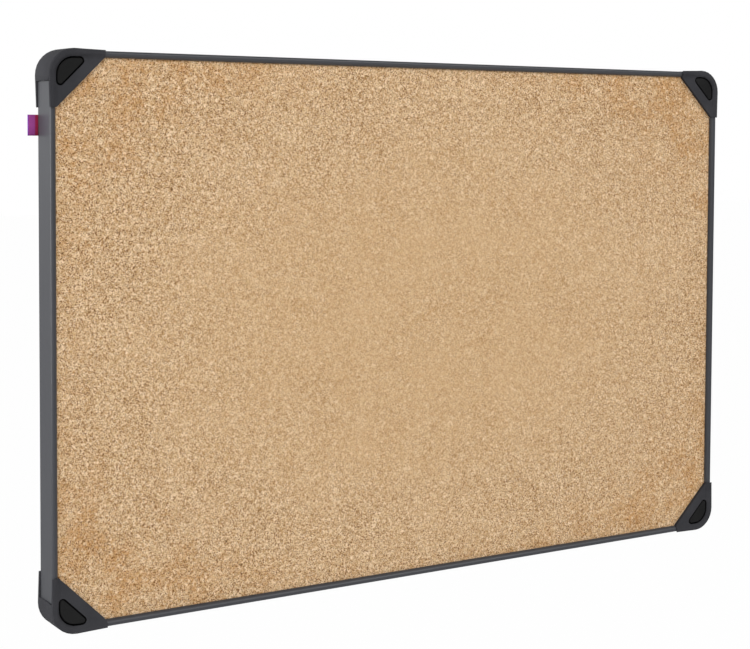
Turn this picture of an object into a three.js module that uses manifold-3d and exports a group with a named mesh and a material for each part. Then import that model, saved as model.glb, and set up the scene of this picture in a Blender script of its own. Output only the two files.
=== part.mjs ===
import * as THREE from 'three';
import { mergeVertices } from 'three/addons/utils/BufferGeometryUtils.js';
import Module from 'manifold-3d';

// A framed cork pin board that hangs on a wall by screws through its four corner caps.
// Millimetres, Z up. X runs along the board, Y runs into the wall, and the wall plane is Y = 0.
// A height here is measured from the wall towards the viewer, so height h lies at Y = -h.
// A distance u is measured inwards from the outer face of a rail.

// Board, over the outer faces of the rails
const boardWidth = 600;
const boardHeight = 400;

// Rail section
const railDepth = 24;
const railWall = 1.2;
const lipReach = 3.4;
const lipDrop = 3.4;
const edgeRound = 1;
const boxWidth = 9;

// Panel layers
const corkThickness = 2;
const coreThickness = 5.6;
const sheetThickness = 2;
const glueLine = 0.2;
const panelMargin = 0.8;

// Corner cap
const capRadius = 17;
const webStraight = 4;
const flangeReach = 18;
const capSkin = 1;
const capProud = 1.35;
const legProud = 0.65;
const capRound = 1.4;
const rimFlat = 0.8;
const plateThickness = 2.9;
const flangeLand = 0.2;

// Screw cover and the ledge it sits on
const coverEdge = 4.2;
const coverSide = 4.3;
const coverGap = 1.1;
const coverThickness = 3.4;
const coverRise = 0.3;
const coverBevel = 0.35;
const coverInnerRound = 0.4;
const ledgeWidth = 1.5;
const collarDrop = 2;
const skirtWall = 0.8;
const skirtDepth = 3;
const skirtSlot = 2.4;

// Tube round the wall screw
const wallHoleRadius = 3.25;
const tubeWall = 1.8;
const tubeRise = 1.2;

// Corner key
const keyTip = 8;
const keyTaper = 1.2;

// Countersunk screw
const screwRadius = 1.45;
const screwHeadRadius = 2.75;
const screwHeadHeight = 1.6;
const screwRimHeight = 0.3;
const screwRecess = 0.2;
const screwTip = 2;
const crossWidth = 0.8;
const crossLength = 3;
const crossDepth = 0.9;

// Ribbon tag behind the left rail
const tagHeight = 14.4;
const tagReach = 7.2;
const tagTuck = 5;
const tagThickness = 1;
const tagDrop = 44;

// Clearance between pieces that fit together
const fit = 0.3;

// Steps in a quarter turn of a corner and of a lip, and sides of a turned piece
const arcSteps = 8;
const lipSteps = 8;
const roundSides = 16;

// Heights from the wall
const backFlange = screwRecess + screwHeadHeight + flangeLand;
const railBack = backFlange + fit;
const railFront = railBack + railDepth;
const lipFoot = railFront - lipDrop;
const capTop = railFront + fit + capSkin;
const plateFront = lipFoot + plateThickness;
const corkFront = lipFoot - fit;
const corkBack = corkFront - corkThickness;
const coreFront = corkBack - glueLine;
const coreBack = coreFront - coreThickness;
const sheetFront = coreBack - glueLine;
const sheetBack = sheetFront - sheetThickness;
const grooveFloor = sheetBack - fit;
const boxBack = railBack + railWall;
const boxFront = grooveFloor - railWall;
const keyBack = boxBack + fit;
const keyFront = boxFront - fit;
const coverTop = plateFront + coverRise;
const coverBottom = coverTop - coverThickness;
const ledgeTop = coverBottom - fit;

// Distances from the outer faces of the rails
const lipWidth = railWall + lipReach;
const rimWidth = lipWidth + fit + capSkin;
const webLeg = capRadius + webStraight;
const railSetback = webLeg + fit;
const capLeg = webLeg + flangeReach;
const capSpan = capLeg + lipWidth;
const screwStation = railSetback + flangeReach / 2;
const screwInset = boxWidth / 2;
const keyMargin = railWall + fit;
const keyWidth = boxWidth - railWall - fit;
const keyLeg = screwStation + keyTip;
const coverTip = ledgeWidth + fit + skirtWall + coverInnerRound;
const coverSpan = capRadius + coverSide + coverEdge + coverTip * (1 + Math.SQRT2);
const panelClip = (coverSpan + capSpan) / 2;
const lipNotch = Math.max(fit, capRadius + coverSide + coverTip + capSkin + fit - railSetback);
const coverApex = capRadius - (capRadius - coverEdge) * Math.SQRT1_2;
const wallHoleInset = (coverApex + coverSpan / 2) / 2;
const tubeRadius = wallHoleRadius + tubeWall;

const wasm = await Module();
wasm.setup();

// Turns a closed geometry into a solid that can be cut and joined.
function solid(geometry) {
  const bare = geometry.clone();
  bare.deleteAttribute('normal');
  bare.deleteAttribute('uv');
  const merged = mergeVertices(bare, 1e-4);
  const mesh = new wasm.Mesh({
    numProp: 3,
    vertProperties: new Float32Array(merged.attributes.position.array),
    triVerts: new Uint32Array(merged.index.array),
  });
  return new wasm.Manifold(mesh);
}

// Turns a solid back into a geometry.
function skin(body) {
  const mesh = body.getMesh();
  const geometry = new THREE.BufferGeometry();
  geometry.setAttribute('position', new THREE.BufferAttribute(mesh.vertProperties, 3));
  geometry.setIndex(new THREE.BufferAttribute(mesh.triVerts, 1));
  geometry.computeVertexNormals();
  return geometry;
}

// Path of a corner, in the corner's own frame: X and Z run inwards along the two rails.
// It comes down one leg, goes round the corner and runs out along the other leg.
class CornerPath extends THREE.Curve {
  constructor() {
    super();
    const angles = Array.from({ length: arcSteps + 1 }, (_, i) => (i / arcSteps) * (Math.PI / 2));
    const arc = angles.map(
      (a) => new THREE.Vector3(1 - Math.cos(a), 0, 1 - Math.sin(a)).multiplyScalar(capRadius),
    );
    const start = new THREE.Vector3(0, 0, capLeg);
    const end = new THREE.Vector3(capLeg, 0, 0);
    this.stations = [start, ...arc, end];
    this.turns = [0, ...angles, Math.PI / 2];
  }

  getSpacedPoints() {
    return this.stations;
  }

  computeFrenetFrames() {
    return {
      tangents: this.turns.map((a) => new THREE.Vector3(Math.sin(a), 0, -Math.cos(a))),
      normals: this.turns.map((a) => new THREE.Vector3(Math.cos(a), 0, Math.sin(a))),
      binormals: this.turns.map(() => new THREE.Vector3(0, -1, 0)),
    };
  }
}

// How much of its height over the rails the outer face of a cap keeps, this far along a leg.
function taper(along) {
  return Math.min(1, THREE.MathUtils.mapLinear(along, capRadius, capLeg, 1, legProud / capProud));
}

// Carries a section, drawn as distance u and height h, along the path of a corner.
// The section is drawn as it is at the corner, and what lies outside the rails falls back along the legs.
function sweep(section) {
  const geometry = new THREE.ExtrudeGeometry(section, {
    steps: arcSteps + 2,
    curveSegments: lipSteps / 2,
    extrudePath: new CornerPath(),
  });
  const points = geometry.attributes.position;
  for (let i = 0; i < points.count; i += 1) {
    const [x, z] = [points.getX(i), points.getZ(i)];
    if (x < 0) points.setX(i, x * taper(z));
    if (z < 0) points.setZ(i, z * taper(x));
  }
  return solid(geometry);
}

// Raises an outline, drawn as seen from the front, from one height to another.
function raise(outline, from, to) {
  const geometry = new THREE.ExtrudeGeometry(outline, {
    depth: to - from,
    bevelEnabled: false,
    curveSegments: arcSteps / 2,
  });
  return solid(geometry.translate(0, 0, from).rotateX(Math.PI / 2));
}

// Turns a profile, listed as radius and height from the wall outwards, about a line square to the wall.
function turn(profile, x, z) {
  const points = profile.map(([r, h]) => new THREE.Vector2(r, -h)).reverse();
  return solid(new THREE.LatheGeometry(points, roundSides).translate(x, 0, z));
}

function rod(radius, from, to, x, z) {
  return turn([[0, from], [radius, from], [radius, to], [0, to]], x, z);
}

function polygon(points) {
  return new THREE.Shape(points.map(([x, y]) => new THREE.Vector2(x, y)));
}

function rectangle(x0, y0, x1, y1) {
  return polygon([[x0, y0], [x1, y0], [x1, y1], [x0, y1]]);
}

// Corner area from distance u inwards, with its outer corner rounded and closed by a line of slope one.
function cornerArea(u, span) {
  const area = new THREE.Shape();
  area.moveTo(u, span - u);
  area.lineTo(u, capRadius);
  area.absarc(capRadius, capRadius, capRadius - u, Math.PI, Math.PI * 1.5, false);
  area.lineTo(span - u, u);
  area.closePath();
  return area;
}

// D shape of the screw cover, drawn in by the offset.
function coverOutline(offset) {
  const edge = coverEdge + offset;
  const tip = coverTip - offset;
  const reach = capRadius + coverSide;
  const outline = new THREE.Shape();
  outline.moveTo(edge, reach);
  outline.lineTo(edge, capRadius);
  outline.absarc(capRadius, capRadius, capRadius - edge, Math.PI, Math.PI * 1.5, false);
  outline.lineTo(reach, edge);
  outline.absarc(reach, edge + tip, tip, -Math.PI / 2, Math.PI / 4, false);
  outline.absarc(edge + tip, reach, tip, Math.PI / 4, Math.PI, false);
  outline.closePath();
  return outline;
}

// Curved lip of a rail or rim: a quarter ellipse about the inner corner of the rail wall.
function lipCurve(section, growth, rising) {
  const [from, to] = rising ? [0, Math.PI / 2] : [Math.PI / 2, 0];
  section.absellipse(railWall, lipFoot, lipReach + growth, lipDrop + growth, from, to, !rising, 0);
}

function railSection() {
  const round = Math.min(edgeRound, railWall);
  const section = new THREE.Shape();
  section.moveTo(0, railBack);
  section.lineTo(boxWidth, railBack);
  section.lineTo(boxWidth, grooveFloor);
  section.lineTo(railWall, grooveFloor);
  lipCurve(section, -railWall, false);
  lipCurve(section, 0, true);
  section.absarc(round, railFront - round, round, Math.PI / 2, Math.PI, false);
  section.closePath();
  section.holes.push(rectangle(railWall, boxBack, boxWidth - railWall, boxFront));
  return section;
}

// Rail along Z in the frame of the left side, with its screw holes in the back wall.
// Its lip is cut off at both ends, where the collar of the cover recess reaches past the corner.
function railBody(length) {
  const bar = new THREE.ExtrudeGeometry(railSection(), {
    depth: length,
    bevelEnabled: false,
    curveSegments: lipSteps / 2,
  });
  const body = solid(bar.translate(0, 0, -length / 2).rotateX(Math.PI));
  const holeAt = length / 2 - flangeReach / 2;
  const lipEnd = length / 2 - lipNotch;
  const beyond = length / 2 + fit;
  const cuts = [-1, 1].flatMap((end) => [
    rod(screwRadius + fit, railBack - fit, boxBack + fit, screwInset, end * holeAt),
    raise(rectangle(railWall, end * lipEnd, rimWidth, end * beyond), lipFoot - fit, railFront + fit),
  ]);
  return body.subtract(wasm.Manifold.union(cuts));
}

// Back flange, outer wall and rim. The rim covers the lip of a rail and falls in a soft ramp to the plate.
function rimSection() {
  const round = Math.min(capRound, capProud + rimFlat);
  const bend = (rimWidth - rimFlat) / 2;
  const section = new THREE.Shape();
  section.moveTo(-capProud, 0);
  section.lineTo(rimWidth, 0);
  section.lineTo(rimWidth, backFlange);
  section.lineTo(railWall, backFlange);
  lipCurve(section, fit, false);
  section.lineTo(rimWidth, lipFoot);
  section.lineTo(rimWidth, plateFront);
  section.bezierCurveTo(rimWidth - bend, plateFront, rimFlat + bend, capTop, rimFlat, capTop);
  section.absarc(round - capProud, capTop - round, round, Math.PI / 2, Math.PI, false);
  section.closePath();
  return section;
}

function screwHole(x, z) {
  const wide = screwHeadRadius + fit;
  const narrow = screwRadius + fit;
  const rim = screwRecess + screwRimHeight;
  const neck = screwRecess + screwHeadHeight;
  const profile = [[0, -fit], [wide, -fit], [wide, rim], [narrow, neck], [narrow, railBack], [0, railBack]];
  return turn(profile, x, z);
}

function capBody() {
  const plateEdge = rimWidth - capSkin / 2;
  const shell = wasm.Manifold.union([
    sweep(rimSection()),
    raise(cornerArea(plateEdge, capSpan + fit), lipFoot, plateFront),
    raise(cornerArea(plateEdge, capSpan + fit), 0, backFlange),
    raise(coverOutline(-capSkin), lipFoot - collarDrop, plateFront - fit),
    rod(tubeRadius, backFlange / 2, keyFront + tubeRise, wallHoleInset, wallHoleInset),
  ]);
  const far = capSpan + capLeg;
  const beyond = polygon([[far, capSpan - far], [far, far], [capSpan - far, far]]);
  const outside = -capProud - fit;
  return shell.subtract(
    wasm.Manifold.union([
      raise(beyond, -fit, capTop + fit),
      raise(rectangle(webLeg, outside, far, railWall), backFlange, railFront + fit),
      raise(rectangle(outside, webLeg, railWall, far), backFlange, railFront + fit),
      raise(coverOutline(0), ledgeTop, capTop + fit),
      raise(coverOutline(ledgeWidth), lipFoot - collarDrop - fit, capTop + fit),
      rod(wallHoleRadius, -fit, keyFront + tubeRise + fit, wallHoleInset, wallHoleInset),
      screwHole(screwStation, screwInset),
      screwHole(screwInset, screwStation),
    ]),
  );
}

// L-shaped key: a block in the corner and a tongue in the box of each rail, tapered at its tip.
function keyBody() {
  const block = new THREE.Shape();
  block.moveTo(keyMargin, webLeg);
  block.lineTo(keyMargin, capRadius);
  block.absarc(capRadius, capRadius, capRadius - keyMargin, Math.PI, Math.PI * 1.5, false);
  block.lineTo(webLeg, keyMargin);
  block.lineTo(webLeg, webLeg);
  block.closePath();
  const taperStart = keyLeg - keyTaper * 2;
  const tongue = polygon([
    [capRadius, keyMargin],
    [taperStart, keyMargin],
    [keyLeg, keyMargin + keyTaper],
    [keyLeg, keyWidth - keyTaper],
    [taperStart, keyWidth],
    [capRadius, keyWidth],
  ]);
  const turned = polygon(tongue.getPoints().map((p) => [p.y, p.x]).reverse());
  const body = wasm.Manifold.union([block, tongue, turned].map((s) => raise(s, keyBack, keyFront)));
  return body.subtract(
    wasm.Manifold.union([
      rod(tubeRadius + fit, keyBack - fit, keyFront + fit, wallHoleInset, wallHoleInset),
      rod(screwRadius + fit, keyBack - fit, keyFront + fit, screwStation, screwInset),
      rod(screwRadius + fit, keyBack - fit, keyFront + fit, screwInset, screwStation),
    ]),
  );
}

// Cover with a bevelled lid and a skirt slotted into four springy prongs.
function coverBody() {
  const lid = new THREE.ExtrudeGeometry(coverOutline(coverGap), {
    depth: coverThickness - 2 * coverBevel,
    bevelThickness: coverBevel,
    bevelSize: coverBevel,
    bevelOffset: -coverBevel,
    bevelSegments: 1,
    curveSegments: arcSteps / 2,
  });
  const lidBody = solid(lid.translate(0, 0, coverBottom + coverBevel).rotateX(Math.PI / 2));
  const skirtFoot = coverBottom - skirtDepth;
  const skirtTop = coverBottom + coverThickness / 2;
  const outside = ledgeWidth + fit;
  const far = coverSpan;
  const slotFrom = wallHoleInset - skirtSlot / 2;
  const slotTo = wallHoleInset + skirtSlot / 2;
  const skirt = raise(coverOutline(outside), skirtFoot, skirtTop)
    .subtract(raise(coverOutline(outside + skirtWall), skirtFoot - fit, skirtTop + fit))
    .subtract(raise(rectangle(slotFrom, 0, slotTo, far), skirtFoot - fit, coverBottom))
    .subtract(raise(rectangle(0, slotFrom, far, slotTo), skirtFoot - fit, coverBottom));
  return lidBody.add(skirt);
}

function screwBody() {
  const neck = screwRecess + screwHeadHeight;
  const end = keyFront - fit;
  const shaft = turn(
    [
      [0, screwRecess],
      [screwHeadRadius, screwRecess],
      [screwHeadRadius, screwRecess + screwRimHeight],
      [screwRadius, neck],
      [screwRadius, end - screwTip],
      [0, end],
    ],
    0,
    0,
  );
  const half = crossLength / 2;
  const thin = crossWidth / 2;
  const bars = [rectangle(-half, -thin, half, thin), rectangle(-thin, -half, thin, half)];
  const cross = bars.map((bar) => raise(bar, screwRecess - fit, screwRecess + crossDepth));
  return shaft.subtract(wasm.Manifold.union(cross));
}

// Panel layer with its four corners cut off under the caps.
function layer(from, to) {
  const margin = railWall + panelMargin;
  const x = boardWidth / 2 - margin;
  const z = boardHeight / 2 - margin;
  const cut = panelClip - 2 * margin;
  const outline = polygon([
    [x - cut, -z],
    [x, cut - z],
    [x, z - cut],
    [x - cut, z],
    [cut - x, z],
    [-x, z - cut],
    [-x, cut - z],
    [cut - x, -z],
  ]);
  return raise(outline, from, to);
}

// Ribbon folded flat on itself, its fold at the outer end.
function tagBody() {
  const front = railBack - fit;
  const middle = front - tagThickness / 2;
  const section = new THREE.Shape();
  section.moveTo(tagTuck, front - tagThickness);
  section.lineTo(tagTuck, front);
  section.absarc(tagThickness / 2 - tagReach, middle, tagThickness / 2, Math.PI / 2, Math.PI * 1.5, false);
  section.closePath();
  const bar = new THREE.ExtrudeGeometry(section, {
    depth: tagHeight,
    bevelEnabled: false,
    curveSegments: arcSteps / 2,
  });
  return solid(bar.rotateX(Math.PI));
}

function piece(name, body, colour, roughness, metalness) {
  const material = new THREE.MeshStandardMaterial({ color: colour, roughness, metalness });
  const mesh = new THREE.Mesh(skin(body), material);
  mesh.name = name;
  return mesh;
}

const board = new THREE.Group();
board.name = 'cork_pin_board';

board.add(piece('cork_sheet', layer(corkBack, corkFront), 0xc8a67c, 0.95, 0));
board.add(piece('core_board', layer(coreBack, coreFront), 0xb99f7d, 0.95, 0));
board.add(piece('back_sheet', layer(sheetBack, sheetFront), 0x6d4a30, 0.8, 0));

// Each side is built as the left side and turned about Y into its place.
const sides = [
  { name: 'left', angle: 0, half: boardWidth / 2, span: boardHeight },
  { name: 'bottom', angle: -Math.PI / 2, half: boardHeight / 2, span: boardWidth },
  { name: 'right', angle: Math.PI, half: boardWidth / 2, span: boardHeight },
  { name: 'top', angle: Math.PI / 2, half: boardHeight / 2, span: boardWidth },
];
for (const side of sides) {
  const frame = new THREE.Group();
  frame.rotation.y = side.angle;
  const rail = piece(`${side.name}_rail`, railBody(side.span - 2 * railSetback), 0x6e7074, 0.4, 0.9);
  rail.position.x = -side.half;
  frame.add(rail);
  board.add(frame);
}

// Each corner is built as the bottom left corner and turned about Y into its place.
const cap = capBody();
const key = keyBody();
const cover = coverBody();
const screw = screwBody();
const corners = [
  { name: 'bottom_left', angle: 0, x: -1, z: -1 },
  { name: 'bottom_right', angle: -Math.PI / 2, x: 1, z: -1 },
  { name: 'top_right', angle: Math.PI, x: 1, z: 1 },
  { name: 'top_left', angle: Math.PI / 2, x: -1, z: 1 },
];
for (const corner of corners) {
  const frame = new THREE.Group();
  frame.position.set((corner.x * boardWidth) / 2, 0, (corner.z * boardHeight) / 2);
  frame.rotation.y = corner.angle;
  frame.add(piece(`${corner.name}_cap`, cap, 0x3e3e42, 0.55, 0));
  frame.add(piece(`${corner.name}_key`, key, 0x8a8a86, 0.6, 0));
  frame.add(piece(`${corner.name}_cover`, cover, 0x252525, 0.5, 0));
  const first = piece(`${corner.name}_screw_1`, screw, 0xb4b6b8, 0.35, 1);
  first.position.set(screwStation, 0, screwInset);
  const second = piece(`${corner.name}_screw_2`, screw, 0xb4b6b8, 0.35, 1);
  second.position.set(screwInset, 0, screwStation);
  frame.add(first, second);
  board.add(frame);
}

const tag = piece('side_tag', tagBody(), 0x6e3282, 0.8, 0);
tag.position.set(-boardWidth / 2, 0, boardHeight / 2 - tagDrop);
board.add(tag);

export default board;
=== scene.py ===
from math import radians, sqrt

import bmesh
import bpy
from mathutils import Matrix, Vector


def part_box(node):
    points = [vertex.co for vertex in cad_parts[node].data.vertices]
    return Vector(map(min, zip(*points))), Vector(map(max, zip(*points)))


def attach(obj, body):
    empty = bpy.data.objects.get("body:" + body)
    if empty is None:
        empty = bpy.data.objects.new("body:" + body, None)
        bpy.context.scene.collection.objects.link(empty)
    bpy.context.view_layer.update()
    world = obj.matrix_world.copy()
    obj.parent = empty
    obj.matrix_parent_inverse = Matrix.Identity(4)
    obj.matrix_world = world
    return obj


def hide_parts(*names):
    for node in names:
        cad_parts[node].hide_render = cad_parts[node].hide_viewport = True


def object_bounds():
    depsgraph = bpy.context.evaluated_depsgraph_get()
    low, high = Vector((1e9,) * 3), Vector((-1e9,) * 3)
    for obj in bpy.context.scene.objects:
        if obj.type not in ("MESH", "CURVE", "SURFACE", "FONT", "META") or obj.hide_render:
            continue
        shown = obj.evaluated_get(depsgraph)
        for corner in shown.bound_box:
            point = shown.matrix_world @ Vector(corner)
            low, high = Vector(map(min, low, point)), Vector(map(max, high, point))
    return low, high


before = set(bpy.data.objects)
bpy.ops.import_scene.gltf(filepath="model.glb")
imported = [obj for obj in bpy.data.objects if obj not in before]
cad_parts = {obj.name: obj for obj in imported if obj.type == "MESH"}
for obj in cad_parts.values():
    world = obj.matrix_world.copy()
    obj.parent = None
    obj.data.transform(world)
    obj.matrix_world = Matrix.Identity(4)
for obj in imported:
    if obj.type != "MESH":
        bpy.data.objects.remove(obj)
cad_low, cad_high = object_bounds()

# A framed cork pin board. Metres, Z up, X along the board, and the wall it hangs on is the plane Y = 0.

MM = 0.001
CORNERS = ("bottom_left", "bottom_right", "top_right", "top_left")
SIDES = ("left", "bottom", "right", "top")
LEVEL_SIDES = ("top", "bottom")

# Points of a solid closer than this are one
MERGE = 0.002 * MM

# Edges of a solid that turn less than FLAT are one surface, and those that turn more than CRISP stay crisp
FLAT = radians(0.4)
CRISP = radians(32)

# Painted shade in the recess round a cover: how far it reaches beyond the cover, and how far below the
# cover's face it starts
RECESS_REACH = 1.4 * MM
RECESS_EDGE = 0.6 * MM

# Lip of the two rails that catch the light. The narrow round of the solid is drawn wider there, from a crest
# a little behind the rail's front down the rail's side. The cuts along the lip are where it can bend.
LIT_SIDES = ("left", "top")
SOLID_ROUND = 1.0 * MM
LIP_CREST = 2.0 * MM
LIP_CUTS = (1.5 * MM, LIP_CREST)
CREST_DROP = 0.1 * MM
ROUND_DEPTH = 2.0 * MM

# Ribbon: its thickness, the steps of each bend of its fold, and the part of the fold that a bend takes, which
# is a hair less than half, so that the two bends stay apart
RIBBON_THICK = 0.35 * MM
BEND_STEPS = 5
BEND_SHARE = 1 / 2.01

# Distance between two ridges of a wave texture whose scale is 1
WAVE_LENGTH = 0.314


class Value:
    """A number, or a colour or vector, that a node gives out. Operators on numbers add Math nodes."""

    def __init__(self, nodes, socket):
        self.nodes = nodes
        self.socket = socket

    def __add__(self, other):
        return self.nodes.math("ADD", self, other)

    def __sub__(self, other):
        return self.nodes.math("SUBTRACT", self, other)

    def __rsub__(self, other):
        return self.nodes.math("SUBTRACT", other, self)

    def __mul__(self, other):
        return self.nodes.math("MULTIPLY", self, other)

    def __gt__(self, other):
        return self.nodes.math("GREATER_THAN", self, other)

    def __lt__(self, other):
        return self.nodes.math("LESS_THAN", self, other)

    __radd__ = __add__
    __rmul__ = __mul__

    def to_range(self, low, high, new_low=0.0, new_high=1.0):
        """Carries low..high smoothly to new_low..new_high, and holds the ends."""
        sockets = {"Value": self, 1: low, 2: high, 3: new_low, 4: new_high}
        return self.nodes.add("ShaderNodeMapRange", {"interpolation_type": "SMOOTHSTEP"}, sockets)


class Nodes:
    """The node tree of a material or of the world."""

    def __init__(self, owner):
        owner.use_nodes = True
        self.tree = owner.node_tree

    def add(self, kind, settings=None, sockets=None, output=0):
        """Adds a node of any kind: its settings first, then the values or links of its sockets."""
        node = self.tree.nodes.new(kind)
        for name, value in (settings or {}).items():
            if name == "stops":
                self.fill_ramp(node.color_ramp, value)
            else:
                setattr(node, name, value)
        self.fill(node, sockets or {})
        return Value(self, node.outputs[output])

    def fill(self, node, sockets):
        """Gives sockets of a node their values or links."""
        for key, value in sockets.items():
            if isinstance(value, Value):
                self.tree.links.new(value.socket, node.inputs[key])
            else:
                node.inputs[key].default_value = value

    def fill_ramp(self, ramp, stops):
        """Gives a colour ramp its stops, each a position and a shade."""
        while len(ramp.elements) < len(stops):
            ramp.elements.new(1.0)
        for element, (position, shade) in zip(ramp.elements, stops):
            element.position = position
            element.color = shade

    def math(self, operation, *values):
        """One step of arithmetic on numbers."""
        return self.add("ShaderNodeMath", {"operation": operation}, dict(enumerate(values)))


class Finish(Nodes):
    """A material in the making, round one Principled shader."""

    def __init__(self, name, sockets):
        self.material = bpy.data.materials.new(name)
        super().__init__(self.material)
        self.shader = self.tree.nodes["Principled BSDF"]
        self.set(sockets)

    def set(self, sockets):
        """Gives sockets of the shader their values or links."""
        self.fill(self.shader, sockets)

    def place(self, scale=(1, 1, 1)):
        """Object coordinates, stretched by the scale along each axis."""
        at = self.add("ShaderNodeTexCoord", output="Object")
        return self.add("ShaderNodeMapping", {}, {"Vector": at, "Scale": scale})

    def noise(self, size, detail=2.0, scale=(1, 1, 1), roughness=0.5, output="Fac"):
        """Cloudy noise from 0 to 1 with patches of about the given size."""
        sockets = {"Vector": self.place(scale), "Scale": 1 / size, "Detail": detail, "Roughness": roughness}
        return self.add("ShaderNodeTexNoise", {}, sockets, output)

    def wavy(self, size, reach):
        """Object coordinates pushed about by up to half the reach, so that cells get ragged edges."""
        push = self.noise(size, output="Color")
        middle = (0.5, 0.5, 0.5)
        push = self.add("ShaderNodeVectorMath", {"operation": "SUBTRACT"}, {0: push, 1: middle}, "Vector")
        push = self.add("ShaderNodeVectorMath", {"operation": "SCALE"}, {0: push, "Scale": reach}, "Vector")
        return self.add("ShaderNodeVectorMath", {"operation": "ADD"}, {0: self.place(), 1: push}, "Vector")

    def ridges(self, size, axis, distortion=0.0):
        """Rounded ridges, one after another along an axis, at about the given distance."""
        settings = {"bands_direction": axis, "wave_profile": "SIN"}
        sockets = {
            "Vector": self.place(),
            "Scale": WAVE_LENGTH / size,
            "Distortion": distortion,
            "Detail": 1.0,
        }
        return self.add("ShaderNodeTexWave", settings, sockets)

    def grains(self, size, at, feature="F1", output="Distance"):
        """Cells of about the given size: a random Color for each, or the Distance from its middle or edge."""
        sockets = {"Vector": at, "Scale": 1 / size}
        return self.add("ShaderNodeTexVoronoi", {"feature": feature}, sockets, output)

    def chances(self, size, at):
        """Two random numbers from 0 to 1 for each cell of about the given size."""
        colour = self.grains(size, at, output="Color")
        return [self.add("ShaderNodeSeparateColor", {}, {"Color": colour}, part) for part in ("Red", "Green")]

    def mix(self, share, first, second, blend="MIX"):
        """The first colour with the given share of the second."""
        sockets = {"Factor": share, 6: first, 7: second}
        return self.add("ShaderNodeMix", {"data_type": "RGBA", "blend_type": blend}, sockets, 2)

    def bump(self, height, depth, strength=1.0):
        """Relief of the given depth where the height runs from 0 to 1."""
        sockets = {"Height": height, "Distance": depth, "Strength": strength}
        self.set({"Normal": self.add("ShaderNodeBump", {}, sockets, "Normal")})


def tint(*channels):
    """A colour as a picture shows it, from 0 to 255, in the linear values that shaders take."""
    shares = [channel / 255 for channel in channels]
    linear = [c / 12.92 if c <= 0.04045 else ((c + 0.055) / 1.055) ** 2.4 for c in shares]
    return (*linear, 1.0)


# Finishes

# Cork: share of the way from its middle to its edge, for each metre along an axis
CORK_SPREAD = (1 / 0.3, 0, 1 / 0.2)

# Cork: sizes of granules, lumps and grit, of their ragged edges, of the gaps in the seams between granules,
# of patches of stronger contrast and of warm clouds, and the depth of the relief
GRANULE = 1.3 * MM
LUMP = 1.9 * MM
GRIT = 0.5 * MM
RAGGED_SIZE = 0.8 * MM
RAGGED_REACH = 0.9 * MM
SEAM_GAP = 1.6 * MM
PATCH = 45 * MM
WARM_CLOUD = 26 * MM
CORK_RELIEF = 0.08 * MM

# Cork: tans of the granules from dark to pale, and what is mixed over them
CORK_TANS = (
    (0.0, tint(158, 118, 70)),
    (0.5, tint(200, 168, 128)),
    (1.0, tint(228, 202, 168)),
)
WARM_TAN = tint(184, 134, 78)
GREENISH_TAN = tint(188, 162, 108)
PALE_FLAKE = tint(234, 208, 174)
SEAM_BROWN = tint(110, 66, 18)
BARK = tint(98, 56, 8)
DARK_BARK = tint(76, 42, 10)

# Cork: share of the lumps that are pale flakes, and of the grit that is bark and dark bark
FLAKE_SHARE = 0.1
BARK_SHARE = 0.15
DARK_BARK_SHARE = 0.02

# How much finer the draw lines of a rail are across it than along it
DRAW_STRETCH = 160.0

# Hardboard: distance between the wires of the press screen
SCREEN_PITCH = 1.4 * MM

# Ribbon: distance between threads, width of the violet at the fold, and the distances from the rail at which
# the crimson band starts and is full
THREAD_PITCH = 0.5 * MM
VIOLET_WIDTH = 1.2 * MM
CRIMSON_START = 2.4 * MM
CRIMSON_FULL = 1.7 * MM


def cork_finish():
    """Pressed cork: granules of many tans with brown seams, bark and pale flakes, calmest in the middle, and
    painted light that makes it a little paler towards its edges.
    """
    cork = Finish("cork", {"Roughness": 0.92, "Specular IOR Level": 0.2})
    spread = cork.place(CORK_SPREAD)
    from_middle = cork.add("ShaderNodeVectorMath", {"operation": "LENGTH"}, {0: spread}, "Value")
    contrast = from_middle.to_range(0.3, 1.05, 0.45, 1.0) + (cork.noise(PATCH) - 0.5) * 0.6
    ragged = cork.wavy(RAGGED_SIZE, RAGGED_REACH)
    shade, hue = cork.chances(GRANULE, ragged)
    lump, ruddy = cork.chances(LUMP, ragged)
    grit, fine = cork.chances(GRIT, ragged)

    # Tans of the granules, with painted light: paler towards the edges, where the lamps light the cork less
    base_tan_with_edge_light = from_middle.to_range(0.3, 1.0, 0.5, 0.62)
    tone = base_tan_with_edge_light + ((shade - 0.5) * 0.6 + (fine - 0.5) * 0.9) * contrast
    colour = cork.add("ShaderNodeValToRGB", {"stops": CORK_TANS}, {"Fac": tone}, "Color")

    # Warm clouds and granules, pale flakes, and a greenish cast on some granules
    cloud = cork.noise(WARM_CLOUD, detail=4.0).to_range(0.42, 0.62)
    cloud = cloud * from_middle.to_range(0.9, 1.2, 0.05, 0.4)
    warm = ruddy.to_range(0.3, 1.0) * from_middle.to_range(0.8, 1.2, 0.15, 0.4)
    colour = cork.mix(cloud + warm, colour, WARM_TAN)
    colour = cork.mix((lump > 1 - FLAKE_SHARE) * contrast * 0.6, colour, PALE_FLAKE)
    colour = cork.mix(hue.to_range(0.0, 0.3, 0.3, 0.0), colour, GREENISH_TAN)

    # Broken seams between the granules, and bark
    seam = cork.grains(GRANULE, ragged, "DISTANCE_TO_EDGE").to_range(0.03, 0.11, 1.0, 0.0)
    broken = cork.noise(SEAM_GAP, detail=1.0).to_range(0.5, 0.58)
    colour = cork.mix(seam * broken * contrast * 0.8, colour, SEAM_BROWN)
    colour = cork.mix((grit < BARK_SHARE) * contrast, colour, BARK)
    colour = cork.mix((grit > 1 - DARK_BARK_SHARE) * contrast, colour, DARK_BARK)
    cork.set({"Base Color": colour})
    cork.bump(fine * 0.4 - seam * 0.6, CORK_RELIEF, 0.4)
    return cork.material


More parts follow.
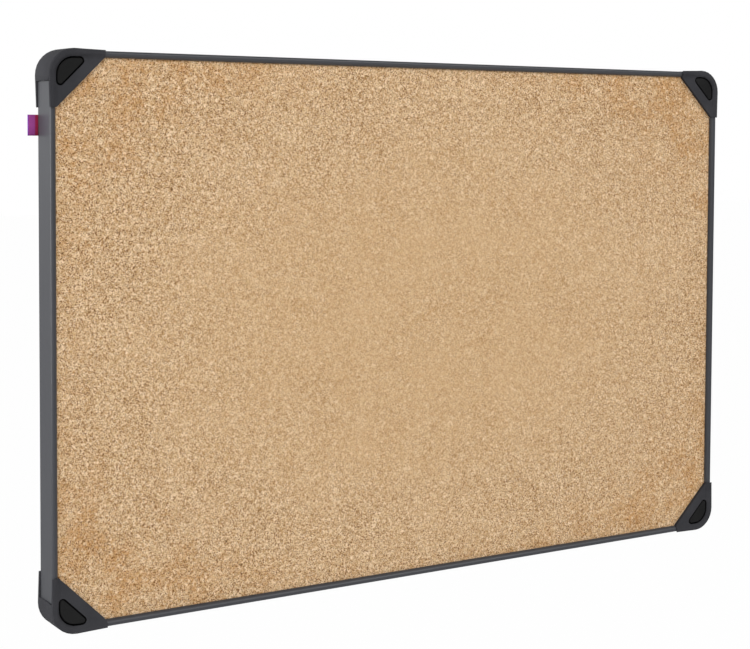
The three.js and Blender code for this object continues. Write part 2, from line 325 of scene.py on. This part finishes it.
def rail_finish(name, along):
    """Satin grey aluminium with fine draw lines along the rail."""
    stretch = [DRAW_STRETCH, DRAW_STRETCH, DRAW_STRETCH]
    stretch["xyz".index(along)] = 1.0
    rail = Finish(name, {"Specular IOR Level": 0.35})
    lines = rail.noise(60 * MM, detail=3.0, scale=stretch)
    cloud = rail.noise(45 * MM)
    tone = lines * 0.6 + cloud * 0.4
    rail.set({"Base Color": rail.mix(tone, tint(53, 54, 58), tint(61, 62, 66))})
    rail.set({"Roughness": lines.to_range(0.3, 0.7, 0.4, 0.46)})
    rail.bump(lines, 0.01 * MM, 0.4)
    return rail.material


def moulded_finish(name, dark, light, rough, gloss):
    """Moulded plastic with the fine grain of an etched mould."""
    plastic = Finish(name, {"Specular IOR Level": gloss})
    etched = plastic.noise(0.35 * MM)
    cloud = plastic.noise(18 * MM)
    plastic.set({"Base Color": plastic.mix(cloud.to_range(0.3, 0.7), dark, light)})
    plastic.set({"Roughness": etched.to_range(0.3, 0.7, rough - 0.06, rough + 0.06)})
    plastic.bump(etched, 0.02 * MM, 0.5)
    return plastic.material


def zinc_finish():
    """Bright zinc plate with a faint blue and straw bloom."""
    zinc = Finish("zinc", {"Metallic": 1.0})
    bloom = zinc.noise(3 * MM, detail=3.0)
    zinc.set({"Base Color": zinc.mix(bloom.to_range(0.35, 0.65), tint(176, 182, 192), tint(204, 200, 186))})
    zinc.set({"Roughness": bloom.to_range(0.3, 0.7, 0.22, 0.36)})
    return zinc.material


def softboard_finish():
    """Soft fibre board: felted pale fibres."""
    board = Finish("softboard", {"Roughness": 0.95, "Specular IOR Level": 0.2})
    fibres = board.noise(2 * MM, detail=5.0, roughness=0.7)
    board.set({"Base Color": board.mix(fibres, tint(160, 134, 102), tint(206, 184, 150))})
    board.bump(fibres, 0.3 * MM)
    return board.material


def hardboard_finish():
    """Brown hardboard with the print of the press screen on its rough face."""
    board = Finish("hardboard", {"Roughness": 0.85, "Specular IOR Level": 0.3})
    screen = board.ridges(SCREEN_PITCH, "X", 0.6) * board.ridges(SCREEN_PITCH, "Z", 0.6)
    fibres = board.noise(4 * MM, detail=5.0, roughness=0.65)
    cloud = board.noise(60 * MM, detail=3.0)
    tone = screen * 0.25 + fibres * 0.45 + cloud * 0.3
    board.set({"Base Color": board.mix(tone, tint(82, 54, 34), tint(146, 104, 70))})
    board.bump(screen * 0.7 + fibres * 0.3, 0.25 * MM, 0.8)
    return board.material


def ribbon_finish(outer_end, rail_edge):
    """Woven ribbon: violet at its fold, purple, and a crimson band beside the rail."""
    ribbon = Finish("ribbon", {"Roughness": 0.75, "Specular IOR Level": 0.3})
    along = ribbon.add("ShaderNodeSeparateXYZ", {}, {"Vector": ribbon.place()}, "X")
    threads = ribbon.ridges(THREAD_PITCH, "X") * 0.5 + ribbon.ridges(THREAD_PITCH, "Z") * 0.5
    violet = along.to_range(outer_end, outer_end + VIOLET_WIDTH, 1.0, 0.0)
    crimson = along.to_range(rail_edge - CRIMSON_START, rail_edge - CRIMSON_FULL)
    colour = ribbon.mix(violet, tint(181, 81, 164), tint(126, 58, 170))
    colour = ribbon.mix(crimson, colour, tint(182, 40, 82))
    colour = ribbon.mix(threads * 0.35, colour, tint(60, 20, 60), "MULTIPLY")
    ribbon.set({"Base Color": colour})
    ribbon.bump(threads, 0.12 * MM, 0.6)
    return ribbon.material


# Pieces


def finished(name, body, finish, rides="board"):
    """Makes a piece from a bmesh, smooth but for its crisp edges."""
    mesh = bpy.data.meshes.new(name)
    body.to_mesh(mesh)
    body.free()
    mesh.shade_smooth()
    mesh.set_sharp_from_angle(angle=CRISP)
    mesh.materials.append(finish)
    piece = bpy.data.objects.new(name, mesh)
    bpy.context.scene.collection.objects.link(piece)
    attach(piece, rides)
    return piece


def widen_round(body, node):
    """Draws the round along the outer front edge of a rail wider, from the crest of its lip down its side."""
    low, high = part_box(node)
    axis = 2 if node.startswith(LEVEL_SIDES) else 0
    across = Vector((0, 0, 0))
    across[axis] = 1
    foot = low.y + SOLID_ROUND + MERGE
    for cut in LIP_CUTS:
        for place in (low[axis] + cut, high[axis] - cut):
            front = [face for face in body.faces if face.calc_center_median().y < foot]
            edges = dict.fromkeys(edge for face in front for edge in face.edges)
            geom = [*body.verts, *edges, *front]
            bmesh.ops.bisect_plane(body, geom=geom, dist=MERGE, plane_co=across * place, plane_no=across)
    for point in body.verts:
        inset = min(point.co[axis] - low[axis], high[axis] - point.co[axis])
        if point.co.y < foot and inset < LIP_CREST + MERGE:
            away = min(1.0, max(0.0, 1 - inset / LIP_CREST))
            point.co.y = low.y + CREST_DROP + ROUND_DEPTH * (1 - sqrt(1 - away * away))


def smoothed(node, finish, rides="board", reshape=None):
    """A copy of a CAD solid: its loose triangles merged, its flat faces whole and its curves smooth."""
    body = bmesh.new()
    body.from_mesh(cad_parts[node].data)
    bmesh.ops.remove_doubles(body, verts=body.verts, dist=MERGE)
    bmesh.ops.dissolve_limit(body, angle_limit=FLAT, verts=body.verts, edges=body.edges)
    if reshape:
        reshape(body, node)
    piece = finished(node + "_moulding", body, finish, rides)
    even = piece.modifiers.new("even shading", "WEIGHTED_NORMAL")
    even.keep_sharp = True
    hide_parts(node)


def paint_recess_shade(corner, finish):
    """Paints shade on the walls and floor of the recess round a cover: they get a near-black finish of their
    own.
    """
    low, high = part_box(f"{corner}_cover")
    middle = (low + high) / 2
    mesh = bpy.data.objects[f"{corner}_cap_moulding"].data
    mesh.materials.append(finish)
    for face in mesh.polygons:
        beside = all(low[i] - RECESS_REACH < face.center[i] < high[i] + RECESS_REACH for i in (0, 2))
        below = low.y + RECESS_EDGE < face.center.y < high.y + RECESS_EDGE
        if beside and below and face.normal.dot(middle - face.center) > 0:
            face.material_index = len(mesh.materials) - 1


def dress(node, finish):
    """Gives a CAD solid that stays as it is its finish."""
    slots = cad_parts[node].data.materials
    slots.clear()
    slots.append(finish)


def ribbon_tag():
    """The folded ribbon behind the left rail: one strip, turned back on itself at its outer end."""
    low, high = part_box("side_tag")
    front = low.y + RIBBON_THICK / 2
    back = high.y - RIBBON_THICK / 2
    outer = low.x + RIBBON_THICK / 2
    body = bmesh.new()
    corners = [(high.x, front), (outer, front), (outer, back), (high.x, back)]
    path = [body.verts.new((x, y, high.z)) for x, y in corners]
    for start, end in zip(path, path[1:]):
        body.edges.new((start, end))
    strip = bmesh.ops.extrude_edge_only(body, edges=body.edges[:])
    lower = [part for part in strip["geom"] if isinstance(part, bmesh.types.BMVert)]
    bmesh.ops.translate(body, verts=lower, vec=(0, 0, low.z - high.z))
    folds = [edge for edge in body.edges if edge.is_manifold and abs(edge.verts[0].co.x - outer) < MERGE]
    bend = {"affect": "EDGES", "segments": BEND_STEPS, "profile": 0.5, "material": -1}
    bmesh.ops.bevel(body, geom=folds, offset=(back - front) * BEND_SHARE, **bend)
    bmesh.ops.recalc_face_normals(body, faces=body.faces)
    piece = finished("side_tag_ribbon", body, ribbon_finish(low.x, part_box("left_rail")[0].x))
    cloth = piece.modifiers.new("cloth thickness", "SOLIDIFY")
    cloth.thickness = RIBBON_THICK
    cloth.offset = 0.0
    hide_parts("side_tag")


upright_rail = rail_finish("upright_rail", "z")
level_rail = rail_finish("level_rail", "x")
cap_plastic = moulded_finish("cap_plastic", tint(51, 51, 54), tint(57, 57, 60), rough=0.75, gloss=0.05)
cover_plastic = moulded_finish("cover_plastic", tint(23, 23, 23), tint(28, 28, 28), rough=0.7, gloss=0.1)
# Near-black plastic that is painted shade, standing for the shade deep in the recess round each cover
recess_painted_shade = moulded_finish("recess_painted_shade", tint(9, 9, 9), tint(13, 13, 13), rough=0.8, gloss=0.05)
key_plastic = moulded_finish("key_plastic", tint(132, 132, 128), tint(146, 146, 142), rough=0.5, gloss=0.4)
zinc = zinc_finish()

dress("cork_sheet", cork_finish())
dress("core_board", softboard_finish())
dress("back_sheet", hardboard_finish())
for side in SIDES:
    finish = level_rail if side in LEVEL_SIDES else upright_rail
    reshape = widen_round if side in LIT_SIDES else None
    smoothed(f"{side}_rail", finish, reshape=reshape)
for corner in CORNERS:
    smoothed(f"{corner}_cap", cap_plastic)
    # Painted shade on the walls and floor of the recess round the cover
    paint_recess_shade(corner, recess_painted_shade)
    smoothed(f"{corner}_key", key_plastic)
    smoothed(f"{corner}_cover", cover_plastic, f"{corner}_cover")
    for number in (1, 2):
        smoothed(f"{corner}_screw_{number}", zinc)
ribbon_tag()

# Stage

WHITE = (1, 1, 1, 1)

# Room: how much a direction to the back and to the left counts for the backdrop, where the backdrop starts
# and is full, and the light that comes from the front and from the backdrop
TO_BACK = 0.85
TO_LEFT = 0.5
BACKDROP_START = 0.1
BACKDROP_FULL = 0.8
FRONT_FILL = 0.2
BACK_FILL = 0.8

# Floor: how far below the board it is, how wide it is, and how much of it is plain white to the eye
FLOOR_DROP = 0.75
FLOOR_SIZE = 40.0
FLOOR_WHITE = 0.985

# Lamps: place, width, height and power. The two large ones are in front, the small one beside the left edge.
LAMPS = {
    "key_light": ((-2.5, -3.6, 2.5), 3.0, 2.6, 145),
    "right_light": ((2.0, -3.0, 2.4), 1.8, 1.4, 76),
    "left_light": ((-1.35, 0.14, 0.2), 0.25, 0.7, 11),
}

# Camera at the photograph's viewing angle: size of the picture, width of the sensor and length of the lens in
# millimetres, turn in degrees, place, and the point of the picture that the lens looks straight at
PICTURE = (750, 649)
SENSOR = 36.0
LENS = 79.099
VIEW_TURN = (87.1414, -0.41, -33.6134)
VIEW_PLACE = (-0.68558, -1.07862, 0.1443)
VIEW_CENTRE = (460.0, 217.1)


def white_room():
    """White to the eye. To reflections and as light, a pale backdrop behind the board and to its left."""
    world = bpy.data.worlds.new("white_room")
    bpy.context.scene.world = world
    room = Nodes(world)
    toward = room.add("ShaderNodeTexCoord", output="Generated")
    across, deep = (room.add("ShaderNodeSeparateXYZ", {}, {"Vector": toward}, axis) for axis in "XY")
    backdrop = (deep * TO_BACK - across * TO_LEFT).to_range(BACKDROP_START, BACKDROP_FULL)
    rays = ("Camera", "Glossy", "Transmission")
    eye, gloss, glass = (room.add("ShaderNodeLightPath", output=f"Is {ray} Ray") for ray in rays)
    seen = room.math("MAXIMUM", eye, room.math("MAXIMUM", gloss, glass) * backdrop)
    fill = backdrop.to_range(0.0, 1.0, FRONT_FILL, BACK_FILL)
    strength = seen + (1 - seen) * fill
    room.fill(room.tree.nodes["Background"], {"Color": WHITE, "Strength": strength})


def pale_floor():
    """A pale floor well below the board, white to the eye but for the board's shadow."""
    body = bmesh.new()
    bmesh.ops.create_grid(body, x_segments=1, y_segments=1, size=FLOOR_SIZE / 2)
    bmesh.ops.translate(body, verts=body.verts, vec=(0, 0, cad_low.z - FLOOR_DROP))
    mesh = bpy.data.meshes.new("floor")
    body.to_mesh(mesh)
    body.free()
    paint = Finish("floor_paint", {"Base Color": (0.9, 0.9, 0.9, 1), "Roughness": 0.8})
    eye = paint.add("ShaderNodeLightPath", output="Is Camera Ray")
    white = paint.add("ShaderNodeEmission", {}, {"Color": WHITE, "Strength": 1.0})
    shaders = {0: eye * FLOOR_WHITE, 1: Value(paint, paint.shader.outputs[0]), 2: white}
    blend = paint.add("ShaderNodeMixShader", {}, shaders)
    paint.fill(paint.tree.nodes["Material Output"], {"Surface": blend})
    mesh.materials.append(paint.material)
    floor = bpy.data.objects.new("floor", mesh)
    bpy.context.scene.collection.objects.link(floor)


def soft_light(name, place, width, height, power):
    """A soft lamp at a place, turned to the board."""
    lamp = bpy.data.lights.new(name, "AREA")
    lamp.shape = "RECTANGLE"
    lamp.size = width
    lamp.size_y = height
    lamp.energy = power
    holder = bpy.data.objects.new(name, lamp)
    holder.location = place
    holder.rotation_euler = (-Vector(place)).to_track_quat("-Z", "Y").to_euler()
    bpy.context.scene.collection.objects.link(holder)


def viewpoint():
    """The camera. Its place is measured from the middle of the board's front face."""
    lens = bpy.data.cameras.new("viewpoint")
    lens.sensor_width = SENSOR
    lens.lens = LENS
    lens.shift_x = 0.5 - VIEW_CENTRE[0] / PICTURE[0]
    lens.shift_y = (VIEW_CENTRE[1] - PICTURE[1] / 2) / PICTURE[0]
    camera = bpy.data.objects.new("viewpoint", lens)
    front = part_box("left_rail")[0].y
    camera.location = Vector(VIEW_PLACE) + Vector((0, front, 0))
    camera.rotation_euler = [radians(angle) for angle in VIEW_TURN]
    bpy.context.scene.collection.objects.link(camera)
    bpy.context.scene.camera = camera


white_room()
pale_floor()
for name, lamp in LAMPS.items():
    soft_light(name, *lamp)
viewpoint()
bpy.context.scene.view_settings.view_transform = "Standard"
